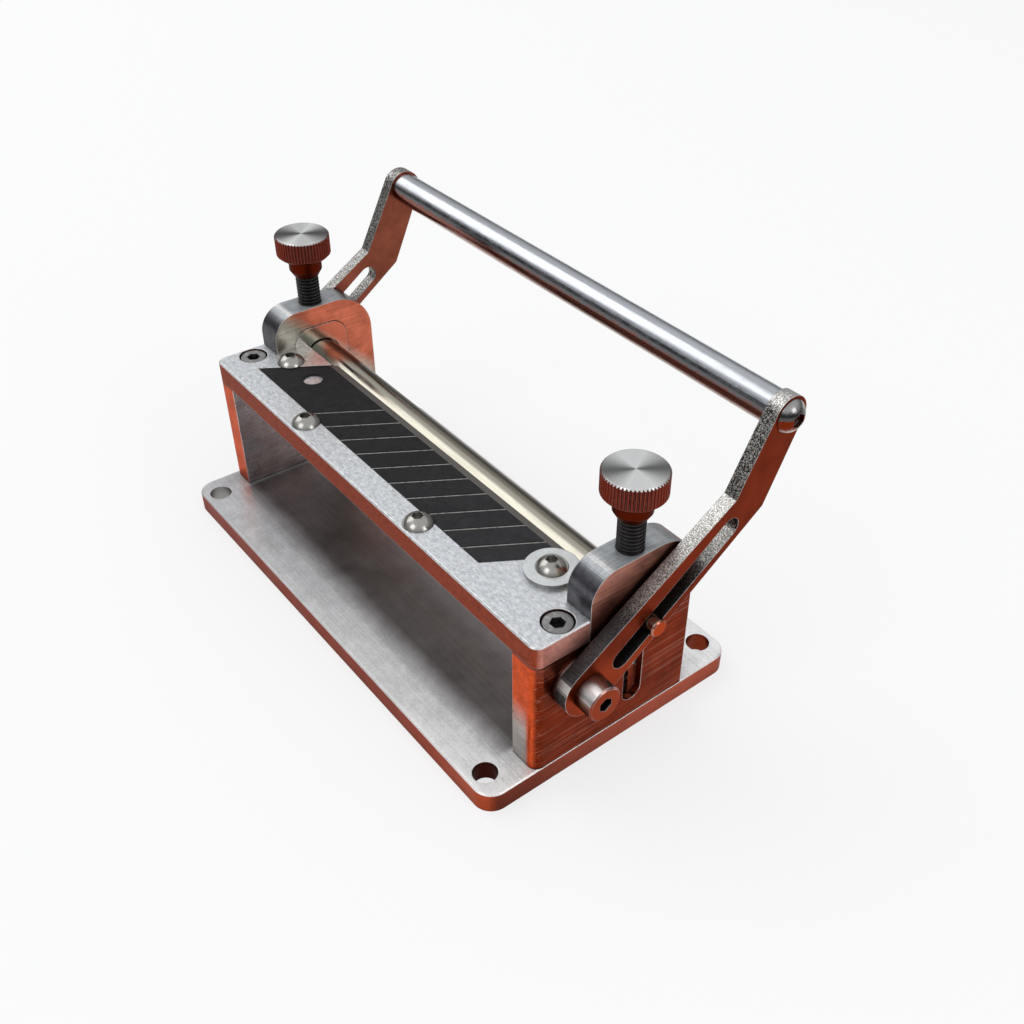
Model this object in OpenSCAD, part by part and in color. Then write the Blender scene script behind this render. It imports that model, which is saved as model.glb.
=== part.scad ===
// Bench splitter: a fixed blade over a roller that a hand lever lowers.
// X runs left to right, Y front to back, Z up; the origin is the middle of the base's underside.

/* [Base plate] */
// Length of the base plate, left to right
base_w = 180; // [160:1:220]
// Depth of the base plate, front to back
base_d = 95; // [94:1:110]
// Thickness of the base plate
base_t = 7; // [6:0.5:10]
// Corner radius of the base plate
base_r = 6; // [4:0.5:8]
// Chamfer on the edges that are handled
edge_c = 0.5; // [0.3:0.1:0.8]
// Diameter of the four bench mounting holes
mount_d = 7.5; // [5:0.5:7.5]
// Distance of the mounting holes from the ends of the base
mount_in_x = 8.7; // [8:0.1:10]
// Distance of the mounting holes from the front and back of the base
mount_in_y = 5.8; // [5.5:0.1:7]

/* [End plates] */
// Thickness of each end plate
plate_t = 10; // [10:0.1:11]
// Front face of the raised ear, measured forwards from the middle
ear_front = 12.5; // [12:0.5:14]
// Rear face of the end plates, measured back from the middle
ear_rear = 25.5; // [25:0.5:28]
// Height of the ear's flat top above the base
ear_h = 61.5; // [55:0.5:75]
// Height of the ear's flat top above the ledge that carries the table
ear_rise = 21; // [20:0.1:22]
// Radius at the front of the ear's top
nose_r = 9; // [7:0.5:10]
// Radius at the back of the ear's top
rump_r = 14; // [10:0.5:15]
// Radius of the outer front corners of end plates and table
corner_r = 3; // [1:0.5:4]

/* [Table and blade] */
// Thickness of the table plate
table_t = 7.5; // [7:0.1:8]
// Width of the table's raised front strip
strip_w = 9; // [8.5:0.1:9.5]
// Depth of the blade's recess
recess_t = 0.9; // [0.8:0.1:1.2]
// Thickness of the blade
blade_t = 0.7; // [0.5:0.1:0.8]
// Width of the blade, front edge to cutting edge
blade_w = 22.9; // [22:0.1:23.5]
// Distance of the cutting edge in front of the roller axis
edge_gap = 3.9; // [3.8:0.1:4.5]
// Distance of the blade's front left corner from the left end plate
blade_gap_left = 4; // [3:0.5:5]
// Distance of the blade's front right corner from the right end plate
blade_gap_right = 27; // [26:0.5:31]
// Angle of the blade's ends and score lines to its length
blade_angle = 58.3; // [56:0.1:62]
// Width of the ground bevel at the cutting edge
bevel_w = 2.4; // [1.5:0.1:3]
// Distance between two score lines
score_pitch = 9.5; // [9:0.1:12]
// Diameter of the hole near the blade's left end
blade_hole_d = 6.7; // [4:0.1:7]

/* [Roller] */
// Diameter of the roller
roller_d = 13.8; // [13:0.1:14]
// Diameter of the axle ends
axle_d = 5.6; // [5.4:0.1:5.8]
// Roller axis behind the middle of the base
roller_y = 4.8; // [4.6:0.1:5]
// Depth of the roller axis below the table's top, with the lever up
roller_drop = 6.7; // [6.4:0.1:7]
// How far the axle ends stand out past the end plates
axle_out = 8.8; // [8:0.1:10]
// Width of each bearing block
block_w = 20.5; // [18:0.5:21]
// Thickness of each bearing block
block_t = 7.3; // [7:0.1:7.3]
// Height of the block above the roller axis
block_up = 12.7; // [12:0.1:13]
// Height of the block below the roller axis
block_down = 11; // [10:0.5:12]
// Radius of the block's top corners
block_r = 6; // [3:0.5:8]
// Outer diameter of the bronze bush
bush_d = 10; // [8.5:0.5:11]

/* [Levers and handle] */
// Thickness of the lever arms
lever_t = 4.6; // [4:0.1:5]
// Gap between end plate and lever arm, filled by the pivot washer
lever_gap = 0.9; // [0.8:0.1:1.2]
// Pivot axis, measured forwards from the middle
pivot_front = 16.6; // [16.4:0.1:17]
// Depth of the pivot axis below the roller axis, with the lever up
pivot_drop = 12.5; // [12.3:0.1:12.8]
// Radius of the lever's eye at the pivot
eye_r = 8.5; // [7.5:0.1:9]
// Radius of the lever's end at the handle
end_r = 6.1; // [6:0.1:7]
// Handle axis behind the pivot axis
handle_y = 67.2; // [65:0.1:70]
// Handle axis above the pivot axis
handle_z = 61.3; // [60:0.1:64]
// Diameter of the handle rod
handle_d = 10.6; // [9:0.1:11]
// Width of the slot that drives the axle
drive_slot_w = 6.5; // [6.5:0.1:7]
// Slope of that slot above level, with the lever up
drive_slot_angle = 35.5; // [35:0.1:36]

/* [Thumb screws] */
// Diameter of the knurled knob
knob_d = 18.4; // [16:0.1:20]
// Height of the knurled part
knob_h = 7.8; // [6:0.1:9]
// Number of teeth round the knob
knob_teeth = 54; // [36:2:60]
// Diameter of the hub under the knob
hub_d = 11.2; // [10.4:0.1:13]
// Height of the hub
hub_h = 7.1; // [5:0.1:8]
// Thread diameter of the thumb screw
thumb_d = 8; // [7.5:0.1:8]
// Thread pitch of the thumb screw
thumb_pitch = 1.25; // [1:0.05:1.5]
// Length of thread that shows above the ear
thumb_show = 10.7; // [8:0.1:14]

/* [Fasteners] */
// Nominal diameter of the blade's clamp screws
clamp_d = 5; // [4.5:0.1:5.5]
// Head diameter of the clamp screws
clamp_head_d = 9.6; // [9.2:0.1:10]
// Head height of the clamp screws
clamp_head_h = 3; // [2.7:0.1:3.2]
// Nominal diameter of the handle screws
handle_screw_d = 6; // [5.5:0.1:6]
// Head diameter of the handle screws
handle_head_d = 10.5; // [10:0.1:11]
// Head height of the handle screws
handle_head_h = 3.3; // [3:0.1:3.6]
// Head diameter of the pivot screws
pivot_head_d = 11; // [10:0.1:12]
// Head length of the pivot screws
pivot_head_l = 6.5; // [6:0.1:7]
// Head diameter of the table's cap screws
cap_head_d = 8.5; // [8:0.1:9]
// Nominal diameter of the table and base screws
frame_screw_d = 5; // [4:0.5:5]

/* [Hidden] */
$fn = 72;

// Overrun of every cut past the surface that it opens
cut = 1;
// Clearance of sliding, turning and threaded fits, on each side
fit = 0.05;
// Clearance where two pieces pass without touching
play = 0.3;

// Levels and faces that several pieces share
plate_x = base_w / 2 - plate_t;
ear_top = base_t + ear_h;
table_z = ear_top - ear_rise;
table_top = table_z + table_t;
roller_z = table_top - roller_drop;
pivot_z = roller_z - pivot_drop;
recess_z = table_top - recess_t;
edge_y = roller_y - edge_gap;
blade_front = blade_w - edge_y;
plate_front = blade_front + strip_w;
slant = cos(blade_angle) / sin(blade_angle);
blade_left = plate_x - blade_gap_left;
blade_l = 2 * plate_x - blade_gap_left - blade_gap_right;

// Bearing pocket in the ear
pocket_t = block_t + 0.2;
pocket_z = 13.5;
block_top = roller_z + block_up;
block_low = roller_z - block_down;
axle_slot_w = 7;
axle_slot_low = pocket_z + axle_slot_w / 2;
axle_slot_high = roller_z + 1;

// Roller ends
shoulder_t = 1.5;
shoulder_d = roller_d + 0.8;
roller_x = plate_x + shoulder_t - play;
axle_x = base_w / 2 + axle_out;

// Return spring
spring_wire = 1;
spring_mean_d = 5.4;
spring_turns = 8;
spring_steps = 14;
spring_sides = 6;
spring_x = plate_x + pocket_t / 2;

// Lever arm, measured from its pivot
pivot_y = -pivot_front;
lever_x = base_w / 2 + lever_gap;
lever_out_x = lever_x + lever_t;
bend_front = [49.8, 41];
bend_rear = [61.3, 34];
// How far inside the round ends the bar's edges stop
tuck = 0.02;
handle_at = [handle_y, handle_z];
drive_slot_from = 12.6;
drive_slot_to = 33.6;
shoulder_bolt_d = 8;
pivot_thread_d = 6;
pivot_thread_l = 8;
pivot_socket = 4;

// Screws
clamp_in = [39, 25];
clamp_side = [11, 8];
clamp_near = 3.5;
washer_near = 5.4;
clamp_at = [
    [(blade_front - clamp_side[0]) * slant - clamp_near / sin(blade_angle) - blade_left, clamp_side[0]],
    [clamp_in[0] - blade_left, blade_front + clamp_near],
    [blade_l - blade_left - clamp_in[1], blade_front + clamp_near],
    [blade_l - blade_left + (blade_front - clamp_side[1]) * slant + washer_near / sin(blade_angle),
        clamp_side[1]]];
clamp_l = 7;
clamp_socket = 3.1;
handle_socket = 4;
button_socket_t = 2;
handle_thread_l = 11;
washer_d = 16;
washer_t = 1.5;
cap_x = base_w / 2 - 5.3;
cap_front = 19.4;
cap_head_h = 4.8;
cap_bore_d = 9.6;
cap_bore_t = 5.2;
cap_l = 8;
cap_socket = 4;
cap_socket_t = 2.5;
base_screw_front = 24;
base_screw_rear = 20.4;
base_screw_l = 16;
base_head_d = 10;
base_head_t = 2.6;
base_socket = 3;
base_socket_t = 1.8;

// Thumb screws
thumb_x = base_w / 2 - plate_t / 2;
thumb_tip = block_top + 3;
hub_z = ear_top + thumb_show;
knob_z = hub_z + hub_h;
knob_top = knob_z + knob_h;
thumb_bore_z = block_top - 4.5;
thread_t = 0.65;
spigot_d = 6;
spigot_h = 7;
tooth_t = 0.45;
hub_taper = 1.3;
hub_taper_h = 2.2;

// Score lines and hole of the blade
score_w = 0.3;
score_t = 0.12;
score_first = 34.5;
score_n = 1 + floor((blade_l - score_first) / score_pitch);
blade_corner = 1.5;
edge_t = 0.05;
blade_hole_at = [17, 11.5];

// Table tongue behind the blade's recess
tongue_top_y = -0.7;
tongue_low_y = -2.9;

// Repeats a right-hand shape on the left when side is negative
module on_side(side) {
    mirror([side < 0 ? 1 : 0, 0, 0]) children();
}

// Turns a sketch so that its x runs along Y, its y along Z, and it is extruded along X
module along_x() {
    rotate([90, 0, 90]) children();
}

// Turns an upright shape so that it points along X
module pointing_x() {
    rotate([0, 90, 0]) children();
}

// Rounded rectangle, centred
module rounded_rect(w, d, r) {
    square([w - 2 * r, d], center = true);
    square([w, d - 2 * r], center = true);
    for (x = [-1, 1], y = [-1, 1])
        translate([x * (w / 2 - r), y * (d / 2 - r)]) circle(r);
}

// Slab with rounded corners and a chamfered top edge
module chamfered_slab(w, d, t, r, c) {
    linear_extrude(t - c) rounded_rect(w, d, r);
    translate([0, 0, t - c]) {
        rotate([90, 0, 0]) linear_extrude(d - 2 * r, center = true)
            polygon([[c - w / 2, -c], [w / 2 - c, -c], [w / 2, 0], [w / 2 - c, c],
                [c - w / 2, c], [-w / 2, 0]]);
        along_x() linear_extrude(w - 2 * r, center = true)
            polygon([[c - d / 2, -c], [d / 2 - c, -c], [d / 2, 0], [d / 2 - c, c],
                [c - d / 2, c], [-d / 2, 0]]);
        for (x = [-1, 1], y = [-1, 1])
            translate([x * (w / 2 - r), y * (d / 2 - r), 0]) rotate_extrude()
                polygon([[0, -c], [r - c, -c], [r, 0], [r - c, c], [0, c]]);
    }
}

// Sketch of a slot between the centres a and b of its round ends
module slot(a, b, w) {
    span = b - a;
    translate(a) rotate(atan2(span[1], span[0])) {
        for (end = [0, norm(span)]) translate([end, 0]) circle(d = w);
        translate([0, -w / 2]) square([norm(span), w]);
    }
}

// Point where the line from p touches the circle at c, on its left (s = 1) or right (s = -1)
function touch(c, r, p, s) =
    let (span = c - p, reach = norm(span))
    let (a = atan2(span[1], span[0]) + s * asin(r / reach))
    p + sqrt(reach * reach - r * r) * [cos(a), sin(a)];

// Hexagon across its flats
module hex(af) {
    circle(d = af / cos(30), $fn = 6);
}

// Domed head of diameter d and height h on z = 0, with a hexagon socket
module button_head(d, h, socket) {
    dome_r = (pow(d / 2, 2) + pow(h, 2)) / (2 * h);
    difference() {
        rotate_extrude() intersection() {
            translate([0, h - dome_r]) circle(dome_r);
            square([d / 2, h - h / 12]);
        }
        translate([0, 0, h - button_socket_t]) linear_extrude(button_socket_t) hex(socket);
    }
}

// Clamp screw whose head stands on z = 0
module clamp_screw() {
    button_head(clamp_head_d, clamp_head_h, clamp_socket);
    translate([0, 0, -clamp_l]) cylinder(d = clamp_d, h = clamp_l + clamp_head_h / 4);
}

// Handle screw whose head stands on z = 0
module handle_screw() {
    button_head(handle_head_d, handle_head_h, handle_socket);
    translate([0, 0, -handle_thread_l])
        cylinder(d = handle_screw_d, h = handle_thread_l + handle_head_h / 4);
}

module base_plate() {
    color("silver") difference() {
        chamfered_slab(base_w, base_d, base_t, base_r, edge_c);
        for (x = [-1, 1], y = [-1, 1])
            translate([x * (base_w / 2 - mount_in_x), y * (base_d / 2 - mount_in_y), -cut])
                cylinder(d = mount_d, h = base_t + 2 * cut);
        for (side = [-1, 1], y = [-base_screw_front, base_screw_rear])
            translate([side * thumb_x, y, 0]) {
                translate([0, 0, -cut]) cylinder(d = frame_screw_d + 2 * fit, h = base_t + 2 * cut);
                cylinder(d1 = base_head_d + 2 * fit, d2 = frame_screw_d + 2 * fit, h = base_head_t);
            }
    }
}

// Sketch of an end plate's outline, seen from the side
module side_outline() {
    translate([-plate_front, base_t]) square([plate_front + ear_rear, ear_h - ear_rise]);
    translate([-ear_front, base_t]) square([ear_front + ear_rear, ear_h - rump_r]);
    translate([-ear_front, base_t]) square([nose_r, ear_h - nose_r]);
    translate([nose_r - ear_front, base_t])
        square([ear_front + ear_rear - nose_r - rump_r, ear_h]);
    translate([nose_r - ear_front, ear_top - nose_r]) circle(nose_r);
    translate([ear_rear - rump_r, ear_top - rump_r]) circle(rump_r);
}

// Sketch of an end plate from above, with its rounded outer front corner
module side_plan() {
    depth = plate_front + ear_rear;
    translate([plate_x, -plate_front]) square([plate_t - corner_r, depth]);
    translate([plate_x, corner_r - plate_front]) square([plate_t, depth - corner_r]);
    translate([base_w / 2 - corner_r, corner_r - plate_front]) circle(corner_r);
}

// Sketch of a bearing block's outline, with room for the fit on each side
module block_outline(room, low, top) {
    w = block_w + 2 * room;
    r = block_r + room;
    translate([roller_y - w / 2, low]) square([w, top - r - low]);
    translate([roller_y - w / 2 + r, low]) square([w - 2 * r, top - low]);
    for (x = [-1, 1]) translate([roller_y + x * (w / 2 - r), top - r]) circle(r);
}

module side_plate(side) {
    color("silver") on_side(side) difference() {
        intersection() {
            translate([plate_x, 0, 0]) along_x() linear_extrude(plate_t) side_outline();
            linear_extrude(ear_top + cut) side_plan();
        }
        translate([plate_x - cut, 0, 0]) along_x()
            linear_extrude(pocket_t + cut) block_outline(fit, pocket_z, block_top + play);
        translate([plate_x, 0, 0]) along_x() linear_extrude(plate_t + cut)
            slot([roller_y, axle_slot_low], [roller_y, axle_slot_high], axle_slot_w);
        translate([thumb_x, roller_y, thumb_bore_z])
            cylinder(d = thumb_d, h = ear_top - thumb_bore_z + cut);
        translate([cap_x, -cap_front, table_top - cap_bore_t - cap_l - play])
            cylinder(d = frame_screw_d + 2 * fit, h = cap_l + table_t);
        for (y = [-base_screw_front, base_screw_rear])
            translate([thumb_x, y, 0]) cylinder(d = frame_screw_d + 2 * fit, h = base_screw_l + play);
        translate([base_w / 2 - pivot_thread_l - play, pivot_y, pivot_z]) pointing_x()
            cylinder(d = pivot_thread_d + 2 * fit, h = pivot_thread_l + play + cut);
    }
}

// Sketch of the blade's place from above, with room on each side
module blade_outline(room, back) {
    left = -blade_left - room / sin(blade_angle);
    right = blade_l - blade_left + room / sin(blade_angle);
    run = (blade_front + back) * slant;
    low = room * slant;
    polygon([[left - low, -blade_front - room], [right - low, -blade_front - room],
        [right + run, back], [left + run, back]]);
}

module table_plate() {
    color("silver") difference() {
        union() {
            intersection() {
                translate([0, (-plate_front - ear_front) / 2 + corner_r, table_z])
                    chamfered_slab(base_w, plate_front - ear_front + 2 * corner_r, table_t,
                        corner_r, edge_c);
                translate([-base_w / 2, -plate_front, table_z])
                    cube([base_w, plate_front - ear_front, table_t]);
            }
            translate([-plate_x, 0, 0]) along_x() linear_extrude(2 * plate_x)
                polygon([[-ear_front - cut, table_z], [tongue_low_y, table_z],
                    [tongue_top_y, table_top], [-ear_front - cut, table_top]]);
        }
        translate([0, 0, recess_z]) linear_extrude(recess_t + cut) blade_outline(fit, cut);
        for (side = [-1, 1]) translate([side * cap_x, -cap_front, 0]) {
            translate([0, 0, table_z - cut]) cylinder(d = frame_screw_d + 2 * fit, h = table_t + cut);
            translate([0, 0, table_top - cap_bore_t]) cylinder(d = cap_bore_d, h = cap_bore_t + cut);
        }
        for (at = clamp_at) translate([at[0], -at[1], table_z - cut])
            cylinder(d = clamp_d + 2 * fit, h = table_t + 2 * cut);
    }
}

// Sketch of the blade's section, ground on both faces at the cutting edge
module blade_section() {
    polygon([[-blade_front, 0], [edge_y - bevel_w, 0],
        [edge_y, blade_t / 2 - edge_t], [edge_y, blade_t / 2 + edge_t],
        [edge_y - bevel_w, blade_t], [-blade_front, blade_t]]);
}

module blade() {
    color([0.12, 0.12, 0.13]) translate([0, 0, recess_z]) difference() {
        intersection() {
            translate([-base_w / 2, 0, 0]) along_x() linear_extrude(base_w) blade_section();
            linear_extrude(blade_t) difference() {
                blade_outline(0, edge_y);
                translate([-blade_left, -blade_front]) rotate(45)
                    square(blade_corner * sqrt(2), center = true);
            }
        }
        translate([blade_hole_at[0] - blade_left, blade_hole_at[1] - blade_front, -cut])
            cylinder(d = blade_hole_d, h = blade_t + 2 * cut);
        for (i = [0 : score_n - 1])
            translate([score_first + i * score_pitch - blade_left, -blade_front, blade_t - score_t])
                rotate(blade_angle) translate([-blade_w, -score_w / 2, 0])
                    cube([3 * blade_w, score_w, score_t + cut]);
    }
}

module blade_clamp_screws() {
    last = len(clamp_at) - 1;
    color("gainsboro") for (i = [0 : last])
        translate([clamp_at[i][0], -clamp_at[i][1], table_top + (i == last ? washer_t : 0)])
            clamp_screw();
}

module blade_clamp_washer() {
    at = clamp_at[len(clamp_at) - 1];
    color("gainsboro") translate([at[0], -at[1], table_top]) difference() {
        cylinder(d = washer_d, h = washer_t);
        translate([0, 0, -cut]) cylinder(d = clamp_d + 2 * fit, h = washer_t + 2 * cut);
    }
}

module table_screws() {
    color("dimgray") for (side = [-1, 1])
        translate([side * cap_x, -cap_front, table_top - cap_bore_t]) {
            difference() {
                cylinder(d = cap_head_d, h = cap_head_h);
                translate([0, 0, cap_head_h - cap_socket_t])
                    linear_extrude(cap_socket_t + cut) hex(cap_socket);
            }
            translate([0, 0, -cap_l]) cylinder(d = frame_screw_d, h = cap_l + cap_head_h / 4);
        }
}

module base_screws() {
    color("dimgray") for (side = [-1, 1], y = [-base_screw_front, base_screw_rear])
        translate([side * thumb_x, y, 0]) difference() {
            union() {
                cylinder(d1 = base_head_d, d2 = frame_screw_d, h = base_head_t);
                cylinder(d = frame_screw_d, h = base_screw_l);
            }
            translate([0, 0, -cut]) linear_extrude(base_socket_t + cut) hex(base_socket);
        }
}

module roller() {
    r = roller_d / 2;
    a = axle_d / 2;
    color("silver") translate([0, roller_y, roller_z]) pointing_x() rotate_extrude()
        polygon([[0, -axle_x], [a - edge_c, -axle_x], [a, edge_c - axle_x], [a, -roller_x],
            [r - edge_c, -roller_x], [r, edge_c - roller_x], [r, roller_x - edge_c],
            [r - edge_c, roller_x], [a, roller_x], [a, axle_x - edge_c], [a - edge_c, axle_x],
            [0, axle_x]]);
}

module bearing_block(side) {
    color("gainsboro") on_side(side) difference() {
        translate([plate_x, 0, 0]) along_x()
            linear_extrude(block_t) block_outline(0, block_low, block_top);
        translate([plate_x - cut, roller_y, roller_z]) pointing_x() {
            cylinder(d = shoulder_d, h = shoulder_t + cut);
            cylinder(d = bush_d, h = block_t + 2 * cut);
        }
    }
}

module roller_bush(side) {
    color("goldenrod") on_side(side)
        translate([plate_x + shoulder_t, roller_y, roller_z]) pointing_x() difference() {
            cylinder(d = bush_d, h = block_t - shoulder_t);
            translate([0, 0, -cut]) cylinder(d = axle_d + 2 * fit, h = block_t + 2 * cut);
        }
}

// Wire wound from its lower end up, with a closed turn at each end
module coil_spring(length) {
    last = spring_turns * spring_steps;
    rise = length - spring_wire;
    flat = 0.8;
    // Share of the length reached after a share of the turns
    function climb(u) =
        let (t = u * spring_turns, free = spring_turns - 2 * flat)
        let (closed = spring_wire * (1 + fit) / rise)
        t < flat ? closed * t
        : t > spring_turns - flat ? 1 - closed * (spring_turns - t)
        : closed * flat + (1 - 2 * closed * flat) * (t - flat) / free;
    function centre(i) =
        let (u = i / last, a = 360 * spring_turns * u)
        [spring_mean_d / 2 * cos(a), spring_mean_d / 2 * sin(a), spring_wire / 2 + rise * climb(u)];
    function ring(i) =
        let (a = 360 * spring_turns * i / last, c = centre(i))
        [for (k = [0 : spring_sides - 1])
            let (b = 360 * k / spring_sides)
            c + spring_wire / 2 * [cos(b) * cos(a), cos(b) * sin(a), sin(b)]];
    points = [for (i = [0 : last]) each ring(i)];
    sides = [for (i = [0 : last - 1], k = [0 : spring_sides - 1])
        let (p = i * spring_sides, q = (k + 1) % spring_sides)
        [p + k, p + spring_sides + k, p + spring_sides + q, p + q]];
    ends = [[for (k = [0 : spring_sides - 1]) k],
        [for (k = [spring_sides - 1 : -1 : 0]) last * spring_sides + k]];
    polyhedron(points, concat(sides, ends));
}

module return_spring(side) {
    color("lightgray") on_side(side)
        translate([spring_x, roller_y, pocket_z]) coil_spring(block_low - pocket_z);
}

// Screw stud with its thread as rings, and a plain spigot that the knob sits on
module thumb_stud(side) {
    r = thumb_d / 2 - fit;
    root = r - thread_t;
    rings = floor((hub_z - thumb_tip) / thumb_pitch);
    start = hub_z - rings * thumb_pitch;
    color([0.1, 0.1, 0.1]) on_side(side) translate([thumb_x, roller_y, 0]) rotate_extrude()
        polygon(concat([[0, thumb_tip], [root - thread_t, thumb_tip], [root, start]],
            [for (i = [0 : rings - 1], p = [[r, 0.4], [r, 0.6], [root, 1]])
                [p[0], start + (i + p[1]) * thumb_pitch]],
            [[spigot_d / 2, hub_z], [spigot_d / 2, hub_z + spigot_h], [0, hub_z + spigot_h]]));
}

// Outline of the knurled rim
module knurl() {
    r = knob_d / 2;
    step = 360 / knob_teeth;
    polygon([for (i = [0 : knob_teeth - 1], p = [[r, -0.15], [r, 0.15], [r - tooth_t, 0.5]])
        p[0] * [cos((i + p[1]) * step), sin((i + p[1]) * step)]]);
}

module thumb_knob(side) {
    r = knob_d / 2;
    h = hub_d / 2;
    color("silver") on_side(side) translate([thumb_x, roller_y, hub_z]) difference() {
        union() {
            rotate_extrude() polygon([[0, 0], [h - hub_taper, 0], [h, hub_taper_h], [h, hub_h + edge_c],
                [0, hub_h + edge_c]]);
            intersection() {
                translate([0, 0, hub_h]) linear_extrude(knob_h) knurl();
                translate([0, 0, hub_h]) rotate_extrude() polygon([[0, 0], [r - 2 * edge_c, 0],
                    [r, 2 * edge_c], [r, knob_h - edge_c], [r - edge_c, knob_h], [0, knob_h]]);
            }
        }
        translate([0, 0, -cut]) cylinder(d = spigot_d + 2 * fit, h = spigot_h + cut + fit);
    }
}

// Lever arm without its holes, measured from its pivot: two round ends and a bent bar
module lever_blank() {
    low_r = eye_r - tuck;
    high_r = end_r - tuck;
    cylinder(r = eye_r, h = lever_t);
    translate(handle_at) cylinder(r = end_r, h = lever_t);
    linear_extrude(lever_t)
        polygon([[0, 0], touch([0, 0], low_r, bend_front, -1), bend_front,
            touch(handle_at, high_r, bend_front, 1), handle_at,
            touch(handle_at, high_r, bend_rear, -1), bend_rear,
            touch([0, 0], low_r, bend_rear, 1)]);
}

// Sketch of the lever arm's holes and its drive slot
module lever_holes() {
    axle_at = [roller_y - pivot_y, roller_z - pivot_z];
    run = [cos(drive_slot_angle), sin(drive_slot_angle)];
    circle(d = shoulder_bolt_d + 2 * fit);
    translate(handle_at) circle(d = handle_screw_d + 2 * fit);
    slot(axle_at - drive_slot_from * run, axle_at + drive_slot_to * run, drive_slot_w);
}

module lever(side) {
    color("silver") on_side(side) translate([lever_x, pivot_y, pivot_z]) along_x() difference() {
        lever_blank();
        translate([0, 0, -cut]) linear_extrude(lever_t + 2 * cut) lever_holes();
    }
}

module handle_rod() {
    color("silver") translate([0, pivot_y + handle_y, pivot_z + handle_z]) pointing_x()
        difference() {
            cylinder(d = handle_d, h = 2 * lever_x, center = true);
            for (side = [-1, 1]) translate([0, 0, side * lever_x])
                cylinder(d = handle_screw_d + 2 * fit, h = 2 * (handle_thread_l + play - lever_t),
                    center = true);
        }
}

module handle_screws() {
    color("gainsboro") for (side = [-1, 1]) on_side(side)
        translate([lever_out_x, pivot_y + handle_y, pivot_z + handle_z]) pointing_x()
            handle_screw();
}

module pivot_screws() {
    color("gainsboro") for (side = [-1, 1]) on_side(side)
        translate([base_w / 2, pivot_y, pivot_z]) pointing_x() {
            shoulder_l = lever_gap + lever_t + 2 * fit;
            translate([0, 0, -pivot_thread_l]) cylinder(d = pivot_thread_d, h = pivot_thread_l);
            cylinder(d = shoulder_bolt_d, h = shoulder_l);
            translate([0, 0, shoulder_l]) difference() {
                union() {
                    cylinder(d = pivot_head_d, h = pivot_head_l - edge_c);
                    translate([0, 0, pivot_head_l - edge_c])
                        cylinder(d1 = pivot_head_d, d2 = pivot_head_d - 2 * edge_c, h = edge_c);
                }
                translate([0, 0, pivot_head_l / 2]) linear_extrude(pivot_head_l) hex(pivot_socket);
            }
        }
}

module pivot_washers() {
    color("gainsboro") for (side = [-1, 1]) on_side(side)
        translate([base_w / 2, pivot_y, pivot_z]) pointing_x() difference() {
            cylinder(r = eye_r - edge_c, h = lever_gap - fit);
            translate([0, 0, -cut]) cylinder(d = shoulder_bolt_d + 2 * fit, h = lever_gap + 2 * cut);
        }
}

base_plate();
side_plate(-1);  // side_plate_left
side_plate(1);  // side_plate_right
table_plate();
blade();
blade_clamp_screws();
blade_clamp_washer();
table_screws();
base_screws();
roller();
bearing_block(-1);  // bearing_block_left
bearing_block(1);  // bearing_block_right
roller_bush(-1);  // roller_bush_left
roller_bush(1);  // roller_bush_right
return_spring(-1);  // return_spring_left
return_spring(1);  // return_spring_right
thumb_stud(-1);  // thumb_stud_left
thumb_stud(1);  // thumb_stud_right
thumb_knob(-1);  // thumb_knob_left
thumb_knob(1);  // thumb_knob_right
lever(-1);  // lever_left
lever(1);  // lever_right
handle_rod();
handle_screws();
pivot_screws();
pivot_washers();
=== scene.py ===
"""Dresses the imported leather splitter: materials, floor, light and the photograph's camera."""

import math

import bpy
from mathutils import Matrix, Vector


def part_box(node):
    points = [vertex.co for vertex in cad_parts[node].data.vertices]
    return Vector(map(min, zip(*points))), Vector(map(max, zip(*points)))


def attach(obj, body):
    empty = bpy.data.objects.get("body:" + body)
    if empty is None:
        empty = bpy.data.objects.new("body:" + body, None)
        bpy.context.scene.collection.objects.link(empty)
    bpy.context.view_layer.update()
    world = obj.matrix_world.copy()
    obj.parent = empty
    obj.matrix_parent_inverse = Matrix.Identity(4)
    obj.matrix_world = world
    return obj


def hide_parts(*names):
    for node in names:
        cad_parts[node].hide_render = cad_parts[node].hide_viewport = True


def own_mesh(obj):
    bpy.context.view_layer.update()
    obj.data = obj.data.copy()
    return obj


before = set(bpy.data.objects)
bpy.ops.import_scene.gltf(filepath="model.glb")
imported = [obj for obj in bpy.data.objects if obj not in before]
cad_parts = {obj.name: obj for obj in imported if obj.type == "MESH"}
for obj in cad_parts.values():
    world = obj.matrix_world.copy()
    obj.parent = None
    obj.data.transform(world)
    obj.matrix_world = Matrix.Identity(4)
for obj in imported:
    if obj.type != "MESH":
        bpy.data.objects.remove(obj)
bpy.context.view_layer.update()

MM = 0.001
SIDES = ("left", "right")

# Camera, fitted to the photograph: place in metres, turn in degrees
CAMERA_AT = (0.25093, -0.15921, 0.26412)
CAMERA_TURN = (51.567, -1.803, 50.132)
FOCAL_PX = 1141.8
PICTURE_PX = 1024
CENTRE_PX = 580
SENSOR_MM = 36

# Steel tones, as written on the shaders; some stand for painted light, painted shade and painted
# reflection, as noted beside them
STEEL = (0.76, 0.78, 0.80)
# Painted shade on the end plates' inner faces under the table
SHADE_STEEL = (1.0, 0.87, 0.86)
# Painted light on a lit strip low on the right end plate's front face
LIT_STEEL = (0.42, 0.38, 0.36)
EAR_STEEL = (0.42, 0.44, 0.45)
# Painted dark reflection round the ears' noses
NOSE_STEEL = (0.10, 0.10, 0.11)
# Painted reflection of the roller on the faces beside it, below and in front
BEIGE_STEEL = (0.50, 0.46, 0.39)
DARK_STEEL = (0.30, 0.295, 0.285)
# Bright edge tone: partly wear and partly a painted highlight
BRIGHT_EDGE = (0.80, 0.78, 0.76)
GREY_TINT = (0.65, 0.63, 0.62, 1.0)
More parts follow.
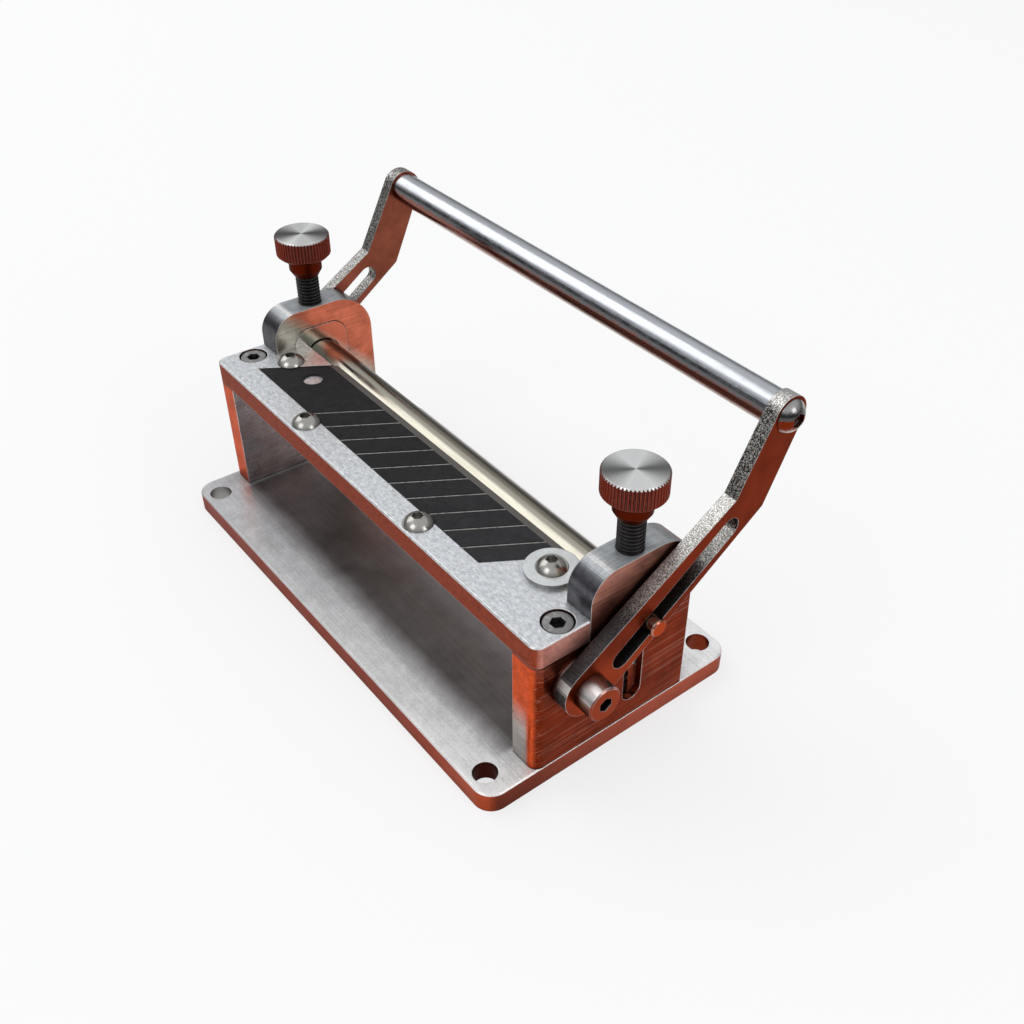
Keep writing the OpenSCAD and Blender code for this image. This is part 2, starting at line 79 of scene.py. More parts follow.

# Warm tones on upright faces: a painted reflection of warm surroundings, lighter or darker by
# place; the scratch tone marks real level scratches within that painted reflection
WARM_EDGE = (0.275, 0.052, 0.025)
WARM_OUTER = (0.175, 0.020, 0.004)
WARM_PALE = (0.400, 0.170, 0.125)
WARM_BRIGHT = (0.620, 0.085, 0.020)
WARM_INNER = (0.560, 0.150, 0.085)
WARM_UNDER = (0.230, 0.075, 0.050)
SCRATCHED = (0.52, 0.27, 0.21)
TABLE_SIDE_BACK = (0.72, 0.33, 0.27)
LEVER_EYE = (0.30, 0.040, 0.010)
LEVER_INNER = (0.22, 0.062, 0.036)
UNDER_GLOW = (0.42, 0.34, 0.29)

# Base: its top to the left and right, painted lighter to the right, and its top under the table in
# painted shade; its rim in front and at the ends in a painted warm reflection; its front holes'
# walls in painted light and painted shade
TOP_LEFT = (0.58, 0.59, 0.60)
TOP_RIGHT = (1.0, 1.0, 0.99)
TOP_UNDER_TABLE = (0.32, 0.285, 0.29)
RIM_MIDDLE = (0.33, 0.044, 0.015)
RIM_CORNER = (0.50, 0.085, 0.032)
RIM_END_FRONT = (0.20, 0.040, 0.022)
RIM_END_BACK = (0.48, 0.105, 0.060)
HOLE_PALE = (0.80, 0.79, 0.78)
HOLE_DARK = (0.075, 0.012, 0.008)

# Table: the hole tone is painted shade, and the cool and warm tints vary at random
HOLE_GREY = (0.20, 0.19, 0.19)
COOL_TINT = (0.97, 1.0, 1.03)
WARM_TINT = (1.03, 1.0, 0.96)

# Blade
BLADE_DARK = (0.014, 0.014, 0.015)
BLADE_LIGHT = (0.024, 0.024, 0.025)
BLADE_SPECK = (0.20, 0.20, 0.20)
SCORE_STEEL = (0.50, 0.49, 0.46)
BEVEL_STEEL = (0.20, 0.19, 0.175)

# Thumb screws: black oxide with painted shade in its hollows, turned top with painted highlight
# wedges, knurled rim in a painted warm reflection with painted shade between the teeth
OXIDE_BLACK = (0.012, 0.010, 0.010)
OXIDE_DEEP = (0.004, 0.003, 0.003)
OXIDE_RUB_AND_GLINT = (0.35, 0.34, 0.33)
TURNED_DARK = (0.72, 0.72, 0.71)
TURNED_LIGHT = (1.0, 1.0, 0.985)
KNURL_DEEP = (0.070, 0.007, 0.002)
KNURL_CREST = (0.165, 0.016, 0.003)

# Cut edges of the lever arms: blasted grain above the bend and painted light where they face up
# there, painted dark below the bend with a painted highlight streak, and painted shade in recesses
BLAST_PIT = (0.020, 0.018, 0.017)
BLAST_SPARK = (0.55, 0.53, 0.50)
BLAST_DULL = (0.30, 0.29, 0.27)
BLAST_LIT = (1.0, 0.98, 0.94)
LOW_EDGE_DARK = (0.045, 0.044, 0.046)
LOW_EDGE_LIGHT = (0.095, 0.093, 0.096)
LOW_EDGE_HIGHLIGHT = (0.80, 0.78, 0.75)
LEVER_DEEP = (0.03, 0.02, 0.018)

# Pivot screws: painted light above and painted shade below round the head, a painted warm
# reflection on the end, and painted shade in the socket
PIVOT_BELOW = (0.12, 0.045, 0.030)
PIVOT_ABOVE = (0.72, 0.70, 0.68)
PIVOT_END = (0.30, 0.045, 0.015)
PIVOT_DEEP = (0.010, 0.004, 0.003)

# Bright round parts, washers and springs; the roller's end, rear and left tones are painted
# reflections, and the washer's level and rim tones are painted light and painted shade
CLAMP_SCREW = (0.44, 0.43, 0.40)
HANDLE_SCREW = (0.42, 0.41, 0.40)
HANDLE_STEEL = (0.57, 0.59, 0.62)
ROLLER_STEEL = (0.52, 0.49, 0.41)
ROLLER_END = (0.42, 0.055, 0.010)
ROLLER_REAR = (0.42, 0.17, 0.13)
ROLLER_LEFT = (0.30, 0.33, 0.30)
WASHER_LEVEL = (0.80, 0.82, 0.81)
WASHER_RIM = (0.22, 0.22, 0.22)
BRONZE = (0.50, 0.30, 0.12)
SPRING_WIRE = (0.035, 0.030, 0.028)

# Floor and world
FLOOR = (0.93, 0.93, 0.93)
FLOOR_GLOW = 0.7
SKY_LOW = (0.16, 0.16, 0.165)
SKY_HIGH = (0.80, 0.81, 0.83)

# Streaks per metre along X, Y and Z on plates brushed along one way
ALONG_X = (14, 1500, 1500)
ALONG_Y = (1500, 40, 1500)
UPRIGHT = (1500, 1500, 40)

# Places, in metres: edge rounding, the height at which the ears begin, and the heights of the end
# plates' joints with the base and the table, each with the depth in front of which it shows
EDGE_ROUND = 0.35 * MM
EAR_FOOT = (0.0465, 0.0485)
PLATE_JOINTS = ((0.0070, 1.0), (0.0475, -0.0125))

# Front bench holes, in metres: place off the middle, and reach of their walls, which carry painted
# light and painted shade
HOLE_X = 0.0813
HOLE_Y = -0.0417
HOLE_REACH = 0.0045

# Blade: slant of its score lines in degrees, and sizes in metres
SCORE_ANGLE = 58.3
SCORE_FIRST = 34.5 * MM
SCORE_PITCH = 9.5 * MM
SCORE_WIDTH = 0.16 * MM
SCORE_LINES = 10
BEVEL = 2.4 * MM

# Way across the painted highlight wedges on the knobs' tops, and rings per metre of radius
WEDGE_WAY = (-0.848, 0.530, 0.0)
RINGS = 5000.0

# What leaves only the level part of a vector
LEVEL = (1, 1, 0)


def put(tree, socket, value):
    """Sets an input to a value, or links it to a socket."""
    if isinstance(value, bpy.types.NodeSocket):
        tree.links.new(value, socket)
    else:
        socket.default_value = value


def add(tree, kind, inputs=None, **settings):
    """A new node with its settings, and each input set to a value or linked to a socket."""
    node = tree.nodes.new(kind)
    for key, value in settings.items():
        setattr(node, key, value)
    for key, value in (inputs or {}).items():
        put(tree, node.inputs[key], value)
    return node


def maths(tree, operation, a, b=0.0):
    """Socket with the result of one sum."""
    return add(tree, "ShaderNodeMath", {0: a, 1: b}, operation=operation).outputs[0]


def times(tree, *factors):
    """Socket with the product of the factors."""
    made = factors[0]
    for factor in factors[1:]:
        made = maths(tree, "MULTIPLY", made, factor)
    return made


def vectors(tree, operation, *inputs, output=0):
    """Socket with one output of a sum with vectors."""
    made = add(tree, "ShaderNodeVectorMath", dict(enumerate(inputs)), operation=operation)
    return made.outputs[output]


def scaled(tree, color, factor):
    """Socket with a colour made brighter or darker by a factor."""
    made = add(tree, "ShaderNodeVectorMath", {0: color, 3: factor}, operation="SCALE")
    return made.outputs[0]


def darker(color, share):
    """A colour at that share of its brightness."""
    return tuple(share * c for c in color)


def place(tree):
    """Socket with the point's place on its own piece, in metres."""
    return add(tree, "ShaderNodeTexCoord").outputs["Object"]


def apart(tree, vector):
    """The X, Y and Z sockets of a vector."""
    return add(tree, "ShaderNodeSeparateXYZ", {"Vector": vector}).outputs


def own_place(tree):
    """The X, Y and Z sockets of the point's place on its own piece, in metres."""
    return apart(tree, place(tree))


def noise(tree, scale, detail=3.0, roughness=0.55):
    """Socket with noise from 0 to 1; its scale per metre is one number, or one each for X, Y, Z."""
    scale = scale if isinstance(scale, tuple) else (scale, scale, scale)
    at = add(tree, "ShaderNodeMapping", {"Vector": place(tree), "Scale": scale})
    made = add(
        tree,
        "ShaderNodeTexNoise",
        {"Vector": at.outputs[0], "Scale": 1.0, "Detail": detail, "Roughness": roughness},
    )
    return made.outputs["Fac"]


def span(tree, value, low, high, to_low=0.0, to_high=1.0):
    """Socket with value taken from low..high to to_low..to_high, clamped."""
    made = add(
        tree,
        "ShaderNodeMapRange",
        {"Value": value, "From Min": low, "From Max": high, "To Min": to_low, "To Max": to_high},
    )
    return made.outputs["Result"]


def mix(tree, share, a, b):
    """Socket with colour a turned into colour b by share."""
    a, b = [c if isinstance(c, bpy.types.NodeSocket) else (*c, 1.0) for c in (a, b)]
    return add(tree, "ShaderNodeMix", {0: share, 6: a, 7: b}, data_type="RGBA").outputs[2]


def true_normal(tree):
    """Socket with the direction of the surface in the world, edges sharp."""
    return add(tree, "ShaderNodeNewGeometry").outputs["True Normal"]


def own_normal(tree):
    """Sockets with the X, Y and Z of the surface's direction in the piece's own frame."""
    local = add(
        tree,
        "ShaderNodeVectorTransform",
        {"Vector": true_normal(tree)},
        vector_type="NORMAL",
        convert_from="WORLD",
        convert_to="OBJECT",
    )
    return apart(tree, local.outputs[0])


def level_share(tree):
    """Socket that is 1 where the surface faces up or down, and 0 on upright faces."""
    return span(tree, maths(tree, "ABSOLUTE", own_normal(tree)["Z"]), 0.45, 0.75)


def endwise(tree, low=0.5, high=0.8):
    """Socket that is 1 where the surface faces left or right, and 0 elsewhere."""
    return span(tree, maths(tree, "ABSOLUTE", own_normal(tree)["X"]), low, high)


def outward(tree):
    """Socket with how far the surface faces away from the object's middle along X, from -1 to 1."""
    return times(tree, maths(tree, "SIGN", own_place(tree)["X"]), own_normal(tree)["X"])


def soft_edge(tree):
    """Socket with the direction of the surface once its edges are rounded off."""
    return add(tree, "ShaderNodeBevel", {"Radius": EDGE_ROUND}, samples=6).outputs[0]


def edge_wear_and_glint(tree, share=0.8):
    """Socket that is share along the edges, broken up by noise, and 0 elsewhere; it brightens
    edges, partly as wear and partly as a painted highlight.
    """
    turn = vectors(tree, "DOT_PRODUCT", soft_edge(tree), true_normal(tree), output="Value")
    edge = span(tree, turn, 0.995, 0.90, 0.0, share)
    return times(tree, edge, span(tree, noise(tree, 700), 0.3, 0.6, 0.5, 1.0))


def recess(tree, reach, power=1.0):
    """Socket that falls from 1 in the open towards 0 deep between near faces; where it darkens a
    colour, that is painted shade.
    """
    made = add(tree, "ShaderNodeAmbientOcclusion", {"Distance": reach}, samples=6)
    return maths(tree, "POWER", made.outputs["AO"], power)


def rounded(tree, height, strength, depth):
    """Socket with the normal of softened edges, with height as fine relief on it."""
    bump = add(
        tree,
        "ShaderNodeBump",
        {"Height": height, "Strength": strength, "Distance": depth, "Normal": soft_edge(tree)},
    )
    return bump.outputs[0]


def shader(name, color, roughness, normal, metallic=1.0, **more):
    """Material with one shader; each input is a value, or a function that gives its socket."""
    material = bpy.data.materials.new(name)
    material.use_nodes = True
    tree = material.node_tree
    inputs = {"Base Color": color, "Roughness": roughness, "Normal": normal, "Metallic": metallic}
    for key, value in more.items():
        inputs[key.replace("_", " ").title().replace("Ior", "IOR")] = value
    for key, value in inputs.items():
        value = value(tree) if callable(value) else value
        put(tree, tree.nodes["Principled BSDF"].inputs[key], value)
    return material


def cloud(tree, scale=160, detail=5.0, roughness=0.65):
    """Socket with soft patches from 0 to 1."""
    return span(tree, noise(tree, scale, detail, roughness), 0.3, 0.7)


def shaded(tree, color, patches, fine, share=0.35):
    """Socket with color darker and lighter by patches and by fine streaks, each from 0 to 1."""
    tone = span(tree, maths(tree, "ADD", patches, fine), 0.2, 1.8, 1 - share, 1 + share)
    return scaled(tree, color, tone)


def brushed_steel(name, streaks, tones, rough=0.34, contrast=0.35, wear_and_glint=0.8, relief=0.25,
                  reach=None, joints=(), **more):
    """Rolled and brushed plate: tones gives its colour, streaks run along the smallest scale.

    Its edges are made bright, partly as wear and partly as a painted highlight, but dark within a
    millimetre of the heights in joints, in front of the depth given with each. Where reach is
    given, it is darker deep between near faces, as painted shade.
    """

    def color(tree):
        fine = span(tree, noise(tree, streaks, 3.0, 0.7), 0.25, 0.75)
        base = shaded(tree, tones(tree), cloud(tree), fine, contrast)
        # Painted shade: darker deep between near faces
        if reach:
            base = mix(tree, recess(tree, reach, 1.3), scaled(tree, base, 0.42), base)
        # Edges brightened, partly as wear and partly as a painted highlight
        worn = edge_wear_and_glint(tree, wear_and_glint)
        for level, back in joints:
            _, depth, height = own_place(tree)
            off = maths(tree, "ABSOLUTE", maths(tree, "SUBTRACT", height, level))
            off = maths(tree, "ADD", off, maths(tree, "GREATER_THAN", depth, back))
            worn = times(tree, worn, span(tree, off, 0.0004, 0.0010))
            base = mix(tree, span(tree, off, 0.0001, 0.0008), scaled(tree, base, 0.25), base)
        return mix(tree, worn, base, BRIGHT_EDGE)

    def roughness(tree):
        return span(tree, noise(tree, 90, 4.0), 0.25, 0.75, rough - 0.07, rough + 0.09)

    def normal(tree):
        return rounded(tree, noise(tree, streaks, 3.0, 0.7), relief, 0.00006)

    return shader(name, color, roughness, normal, **more)


def washer_tones(tree):
    """Tones of a washer: pale on its flats and grey round its rim, as painted light and painted
    shade.
    """
    return mix(tree, level_share(tree), WASHER_RIM, WASHER_LEVEL)


def beside_roller(tree):
    """Tones of a face beside the roller, a painted reflection: beige below and in front, warm above
    and behind.
    """
    _, y, z = own_place(tree)
    rise = span(tree, maths(tree, "ADD", z, times(tree, y, 0.95)), 0.0575, 0.0650)
    return mix(tree, rise, BEIGE_STEEL, WARM_INNER)


def block_tones(tree):
    """Tones of a bearing block: its inner face goes on from the end plate's painted reflection
    beside the roller.
    """
    return mix(tree, endwise(tree), EAR_STEEL, beside_roller(tree))


def ear_top(tree):
    """Socket that is 1 where the surface faces up, as on the ear's top, and 0 round its nose."""
    return span(tree, own_normal(tree)["Z"], 0.80, 0.97)


def ear_tones(tree):
    """Tones of an ear: pale on top, a painted dark reflection round its nose, and a painted glint
    along the crease between them.
    """
    _, ny, nz = own_normal(tree)
    # Painted glint along the crease between nose and top
    crease = times(tree, span(tree, nz, 0.950, 0.965), span(tree, nz, 0.994, 0.988),
                   maths(tree, "LESS_THAN", ny, -0.02))
    ear = mix(tree, ear_top(tree), NOSE_STEEL, EAR_STEEL)
    return mix(tree, times(tree, crease, 0.8), ear, BRIGHT_EDGE)


def outer_tones(tree):
    """Tones of an end plate's outer face: a painted warm reflection, paler towards the top, with
    level scratches.
    """
    z = own_place(tree)["Z"]
    outer = mix(tree, span(tree, z, 0.042, 0.066), WARM_OUTER, WARM_PALE)
    scratch = times(tree, span(tree, noise(tree, (900, 22, 1500), 2.0, 0.6), 0.54, 0.70),
                    span(tree, z, 0.030, 0.062, 0.30, 0.75))
    return mix(tree, scratch, outer, SCRATCHED)


def end_plate_tones(tree):
    """Tones of an end plate: a painted warm reflection outside and in front, painted light on a
    strip of the right plate's front, a polished ear with painted tones, painted shade under the
    table, and a painted reflection beside the roller.
    """
    x, y, z = own_place(tree)
    ny = own_normal(tree)["Y"]
    behind = times(tree, span(tree, ny, 0.3, 0.6), 0.030)
    high = maths(tree, "MINIMUM", span(tree, z, *EAR_FOOT),
                 span(tree, maths(tree, "SUBTRACT", z, behind), 0.0180, 0.0480))
    # Painted light: a lit silver strip low on the right end plate's front face; the rest of the
    # front is painted warm reflection
    lit = times(tree, span(tree, x, 0.0870, 0.0855), span(tree, z, 0.031, 0.020),
                span(tree, x, 0.0795, 0.0800))
    front = mix(tree, lit, WARM_BRIGHT, LIT_STEEL)
    upright = mix(tree, span(tree, ny, -0.5, -0.95), WARM_EDGE, front)
    tone = mix(tree, high, upright, ear_tones(tree))
    tone = mix(tree, span(tree, outward(tree), 0.5, 0.8), tone, outer_tones(tree))
    # Painted shade on the inner faces under the table, darker further back
    dim = mix(tree, span(tree, y, -0.030, -0.004), SHADE_STEEL, darker(SHADE_STEEL, 0.75))
    clear = maths(tree, "MAXIMUM", high, span(tree, y, -0.004, 0.002))
    inner = mix(tree, clear, dim, beside_roller(tree))
    return mix(tree, span(tree, outward(tree), -0.5, -0.8), tone, inner)


def end_plate_shine(tree):
    """How metallic an end plate is: less on the scuffed top of its ear."""
    scuffed = times(tree, ear_top(tree), span(tree, own_place(tree)["Z"], *EAR_FOOT))
    return span(tree, scuffed, 0.0, 1.0, 1.0, 0.35)


def table_tones(tree):
    """Tones of the table: level steel, a painted warm reflection in front and on its sides, which
    are paler towards the back, and painted shade grey in holes.
    """
    side = mix(tree, span(tree, own_place(tree)["Y"], -0.036, -0.024), WARM_EDGE, TABLE_SIDE_BACK)
    warm = mix(tree, endwise(tree, 0.7, 0.95), WARM_EDGE, side)
    warm = mix(tree, recess(tree, 0.003), HOLE_GREY, warm)
    return mix(tree, level_share(tree), warm, STEEL)


def ground_table():
    """Ground plate with a fine light mottle."""

    def color(tree):
        patch = span(tree, noise(tree, 620, 5.0, 0.75), 0.35, 0.65)
        fleck = span(tree, noise(tree, (500, 3200, 3200), 2.0, 0.7), 0.35, 0.65)
        tint = mix(tree, noise(tree, 240), COOL_TINT, WARM_TINT)
        tones = vectors(tree, "MULTIPLY", table_tones(tree), tint)
        # Edges brightened, partly as wear and partly as a painted highlight
        return mix(tree, edge_wear_and_glint(tree, 0.6), shaded(tree, tones, patch, fleck, 0.30), BRIGHT_EDGE)

    def normal(tree):
        return rounded(tree, noise(tree, 1300), 0.3, 0.00008)

    return shader("ground_table", color, 0.42, normal, specular_tint=GREY_TINT)


def black_blade():
    """Blackened spring steel with bright score lines and a ground cutting edge."""
    low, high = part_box("blade")
    slant = 1 / math.tan(math.radians(SCORE_ANGLE))

    def score(tree):
        """Socket that is above 0 on the score lines, broken up where they are worn away."""
        x, y, _ = own_place(tree)
        run = times(tree, maths(tree, "SUBTRACT", y, low[1]), slant)
        start = maths(tree, "SUBTRACT", maths(tree, "SUBTRACT", x, run), low[0] + SCORE_FIRST)
        along = maths(tree, "DIVIDE", start, SCORE_PITCH)
        near = maths(tree, "SUBTRACT", along, maths(tree, "ROUND", along))
        near = maths(tree, "ABSOLUTE", near)
        width = SCORE_WIDTH / SCORE_PITCH
        on_line = span(tree, near, width, 1.7 * width, 1.0, 0.0)
        after = maths(tree, "GREATER_THAN", along, -0.5)
        before = maths(tree, "LESS_THAN", along, SCORE_LINES - 0.5)
        worn = span(tree, noise(tree, 900, 2.0), 0.3, 0.55, 0.35, 1.0)
        return times(tree, on_line, after, before, worn)

    def ground(tree):
        """Socket that is 1 on the ground cutting edge, and 0 elsewhere."""
        return maths(tree, "GREATER_THAN", own_place(tree)["Y"], high[1] - BEVEL)

    def color(tree):
        body = mix(tree, cloud(tree, 300, 5.0, 0.7), BLADE_DARK, BLADE_LIGHT)
        body = scaled(tree, body, span(tree, own_place(tree)["X"], 0.0, 0.07, 1.0, 1.9))
        speck = span(tree, noise(tree, 2200, 2.0, 0.7), 0.68, 0.74, 0.0, 0.35)
        body = mix(tree, speck, body, BLADE_SPECK)
        body = mix(tree, times(tree, score(tree), 0.85), body, SCORE_STEEL)
        return mix(tree, ground(tree), body, BEVEL_STEEL)

    def metallic(tree):
        return maths(tree, "MAXIMUM", score(tree), ground(tree))

    def roughness(tree):
        return span(tree, noise(tree, 500, 4.0), 0.3, 0.7, 0.42, 0.58)

    def normal(tree):
        return rounded(tree, noise(tree, 900), 0.15, 0.00005)

    return shader("black_blade", color, roughness, normal, metallic=metallic,
                  specular_ior_level=0.10)


def polished(name, color, rough, streaks=(40, 900, 900), reach=None, relief=0.06, under=None,
             end=None, rear=None, left=None, **more):
    """Polished round bar or screw head with faint drawing marks.

    It is dimmer and toned like under where it faces down, like rear where it faces back, like end
    on its flat ends, and like left towards the left end plate, all as painted reflections; where
    reach is given, it is darker deep in recesses, as painted shade.
    """

    def tone(tree):
        base = mix(tree, noise(tree, streaks), darker(color, 0.75), color)
        # Painted reflections: a dark band on the sides, under's tone lower down, and a pale glow
        # where it faces straight down
        if under:
            ragged = span(tree, noise(tree, (350, 900, 900), 3.0, 0.7), 0.3, 0.7, -0.07, 0.07)
            up = maths(tree, "ADD", own_normal(tree)["Z"], ragged)
            dim = mix(tree, span(tree, up, 0.40, 0.58), darker(color, 0.22), base)
            warm = mix(tree, span(tree, up, -0.50, -0.38), UNDER_GLOW, under)
            base = mix(tree, span(tree, up, 0.08, 0.18), warm, dim)
        # Painted reflection where it faces back, set in the world's frame
        if rear:
            back = apart(tree, true_normal(tree))["Y"]
            dark = mix(tree, span(tree, back, 0.10, 0.50), base, darker(color, 0.16))
            base = mix(tree, span(tree, back, 0.66, 0.76), dark, rear)
        # Painted shade deep in recesses
        if reach:
            base = mix(tree, recess(tree, reach), darker(color, 0.12), base)
        # Painted reflection towards the left end plate
        if left:
            base = mix(tree, span(tree, own_place(tree)["X"], -0.074, -0.056), left, base)
        # Painted reflection on the flat ends
        if end:
            base = mix(tree, endwise(tree), base, end)
        return base

    def roughness(tree):
        marks = noise(tree, (120, 500, 500), 4.0)
        return span(tree, marks, 0.3, 0.7, rough * 0.75, rough * 1.35)

    def normal(tree):
        return rounded(tree, noise(tree, streaks), relief, 0.00004)

    return shader(name, tone, roughness, normal, **more)


def oxide(name, color, rough):
    """Black oxide on a screw, bright on its crests partly as rubbed wear and partly as a painted
    glint, and darker in its hollows as painted shade.
    """

    def tone(tree):
        worn = span(tree, noise(tree, 700, 4.0, 0.7), 0.5, 0.75, 0.0, 0.4)
        body = mix(tree, worn, color, tuple(min(1.0, 4 * c) for c in color))
        # Crests brightened partly as rubbed wear and partly as a painted glint
        body = mix(tree, edge_wear_and_glint(tree, 0.35), body, OXIDE_RUB_AND_GLINT)
        # Painted shade deep in hollows and sockets
        return mix(tree, recess(tree, 0.0035, 2.5), OXIDE_DEEP, body)

    def normal(tree):
        return rounded(tree, noise(tree, 1500, 2.0), 0.2, 0.00005)

    return shader(name, tone, rough, normal, metallic=0.8)


def turned_knob(name, centre):
    """Knob with a lathe-turned top and a knurled rim round a vertical axis at centre; the top has
    painted highlight wedges, and the rim a painted warm reflection with painted shade deep between
    the teeth.
    """

    def spoke(tree):
        """Socket with the level way from the axis to the point."""
        return vectors(tree, "MULTIPLY", vectors(tree, "SUBTRACT", place(tree), centre), LEVEL)

    def radius(tree):
        return vectors(tree, "LENGTH", spoke(tree), output="Value")

    def radial(tree):
        turned = add(tree, "ShaderNodeVectorTransform", {"Vector": spoke(tree)},
                     vector_type="VECTOR", convert_from="OBJECT", convert_to="WORLD")
        return vectors(tree, "NORMALIZE", turned.outputs[0])

    def grooves(tree):
        at = times(tree, radius(tree), RINGS)
        ring = add(tree, "ShaderNodeTexNoise", {"W": at, "Detail": 2.0}, noise_dimensions="1D")
        return ring.outputs["Fac"]

    def color(tree):
        way = vectors(tree, "NORMALIZE", spoke(tree))
        # Painted highlight: bright wedges across the turned top
        wedge = vectors(tree, "DOT_PRODUCT", way, WEDGE_WAY, output="Value")
        wedge = maths(tree, "POWER", maths(tree, "ABSOLUTE", wedge), 1.6)
        top = mix(tree, grooves(tree), TURNED_DARK, TURNED_LIGHT)
        top = scaled(tree, top, span(tree, wedge, 0.0, 0.85, 0.20, 1.0))
        # Painted warm reflection on the knurl, with painted shade deeper between the teeth
        side = mix(tree, recess(tree, 0.0012), KNURL_DEEP, KNURL_CREST)
        side = scaled(tree, side, span(tree, radius(tree), 0.0062, 0.0070, 0.45, 1.0))
        tone = mix(tree, span(tree, own_normal(tree)["Z"], 0.45, 0.75), side, top)
        # Edges brightened, partly as wear and partly as a painted glint
        return mix(tree, edge_wear_and_glint(tree, 0.10), tone, BRIGHT_EDGE)

    def normal(tree):
        return rounded(tree, grooves(tree), 0.2, 0.00003)

    return shader(name, color, 0.27, normal, anisotropic=0.95, tangent=radial,
                  specular_tint=GREY_TINT)


def blasted_lever():
    """Lever arm: brushed outer faces in a painted warm reflection, and cut edges with a coarse
    blasted grain and painted light and shade.
    """

    def edge(tree):
        """Socket that is 1 on the cut edges, and 0 on the faces."""
        return span(tree, endwise(tree), 0.0, 1.0, 1.0, 0.0)

    def grain(tree):
        return noise(tree, 2300, 3.0, 0.8)

    def lit(tree):
        """Socket that is high on edges that face up above the bend, more so on the right arm, where
        light is painted on.
        """
        x, _, z = own_place(tree)
        return times(tree, span(tree, own_normal(tree)["Z"], 0.50, 0.74),
                     span(tree, z, 0.054, 0.068), span(tree, x, -0.01, 0.01, 0.35, 1.0))

    def rim_tones(tree):
        z = own_place(tree)["Z"]
        ny = own_normal(tree)["Y"]
        speck = span(tree, grain(tree), 0.46, 0.56)
        dull = mix(tree, span(tree, grain(tree), 0.49, 0.57), BLAST_PIT, BLAST_SPARK)
        # Below the bend the edge is painted dark, with a painted highlight streak
        low_edge = mix(tree, speck, LOW_EDGE_DARK, LOW_EDGE_LIGHT)
        streak = times(tree, span(tree, ny, -0.74, -0.80), span(tree, ny, -0.97, -0.90))
        low_edge = mix(tree, streak, low_edge, LOW_EDGE_HIGHLIGHT)
        dull = mix(tree, span(tree, z, 0.064, 0.052), dull, low_edge)
        # Painted light on edges that face up above the bend
        rim = mix(tree, lit(tree), dull, mix(tree, speck, BLAST_DULL, BLAST_LIT))
        # Painted shade deep in recesses
        return mix(tree, recess(tree, 0.004, 1.5), LEVER_DEEP, rim)

    def face_tones(tree):
        # Painted warm reflection, brighter low round the eye, and another on the inner faces
        outer = mix(tree, span(tree, own_place(tree)["Z"], 0.046, 0.038), WARM_OUTER, LEVER_EYE)
        face = mix(tree, span(tree, outward(tree), -0.5, -0.8), outer, LEVER_INNER)
        fine = span(tree, noise(tree, (900, 70, 70)), 0.3, 0.7)
        return shaded(tree, face, cloud(tree), fine, 0.30)

    def color(tree):
        tone = mix(tree, edge(tree), face_tones(tree), rim_tones(tree))
        # Edges brightened, partly as wear and partly as a painted highlight
        return mix(tree, edge_wear_and_glint(tree, 0.6), tone, BRIGHT_EDGE)

    def roughness(tree):
        return span(tree, edge(tree), 0.0, 1.0, 0.36, 0.34)

    def normal(tree):
        depth = times(tree, grain(tree), span(tree, edge(tree), 0.0, 1.0, 0.05, 1.0))
        return rounded(tree, depth, 0.7, 0.00020)

    return shader("blasted_lever", color, roughness, normal, specular_tint=GREY_TINT)


def under_table(tree):
    """Socket that is 1 on the part of the base that lies under the table, and 0 outside it."""
    x, y, _ = own_place(tree)
    wander = span(tree, noise(tree, 60, 2.0), 0.0, 1.0, -0.002, 0.002)
    return times(tree, span(tree, maths(tree, "ADD", y, wander), -0.0375, -0.0285),
                 span(tree, y, 0.024, 0.016),
                 span(tree, maths(tree, "ABSOLUTE", x), 0.080, 0.078))


def base_tones(tree):
    """Tones of the base: bright in the open and painted lighter to the right, painted shade under
    the table, a painted warm reflection round its rim, and painted light and painted shade on its
    front holes' walls.
    """
    x, y, _ = own_place(tree)
    fleck = span(tree, noise(tree, 1500, 3.0, 0.75), 0.35, 0.65, 0.88, 1.10)
    open_top = scaled(tree, mix(tree, span(tree, x, -0.06, 0.08), TOP_LEFT, TOP_RIGHT), fleck)
    level = mix(tree, under_table(tree), open_top, TOP_UNDER_TABLE)
    front = mix(tree, span(tree, x, 0.040, 0.085), RIM_MIDDLE, RIM_CORNER)
    end = mix(tree, span(tree, y, -0.036, 0.006), RIM_END_FRONT, RIM_END_BACK)
    side = mix(tree, endwise(tree, 0.7, 0.95), front, end)
    # Painted light on the left hole's wall, painted shade on the right one's
    for at, wall in ((-HOLE_X, HOLE_PALE), (HOLE_X, HOLE_DARK)):
        off = vectors(tree, "SUBTRACT", place(tree), (at, HOLE_Y, 0.0))
        off = vectors(tree, "LENGTH", vectors(tree, "MULTIPLY", off, LEVEL), output="Value")
        side = mix(tree, maths(tree, "LESS_THAN", off, HOLE_REACH), side, wall)
    return mix(tree, level_share(tree), side, level)


def base_shine(tree):
    """How metallic the base is: less on the open part of its top, which is scuffed."""
    clear = span(tree, under_table(tree), 0.0, 1.0, 1.0, 0.0)
    return span(tree, times(tree, level_share(tree), clear), 0.0, 1.0, 1.0, 0.35)


def pivot_tones(tree):
    """Tones of a pivot screw: round its head painted light above and painted shade below, a painted
    warm reflection on its flat end, and painted shade black in its socket.
    """
    side = mix(tree, span(tree, own_normal(tree)["Z"], 0.25, 0.6), PIVOT_BELOW, PIVOT_ABOVE)
    tone = mix(tree, endwise(tree), side, PIVOT_END)
    return mix(tree, recess(tree, 0.0040, 2.2), PIVOT_DEEP, tone)


def dress(material, *nodes):
    """Gives the CAD nodes that material."""
    for name in nodes:
        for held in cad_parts[name].material_slots:
            held.material = material


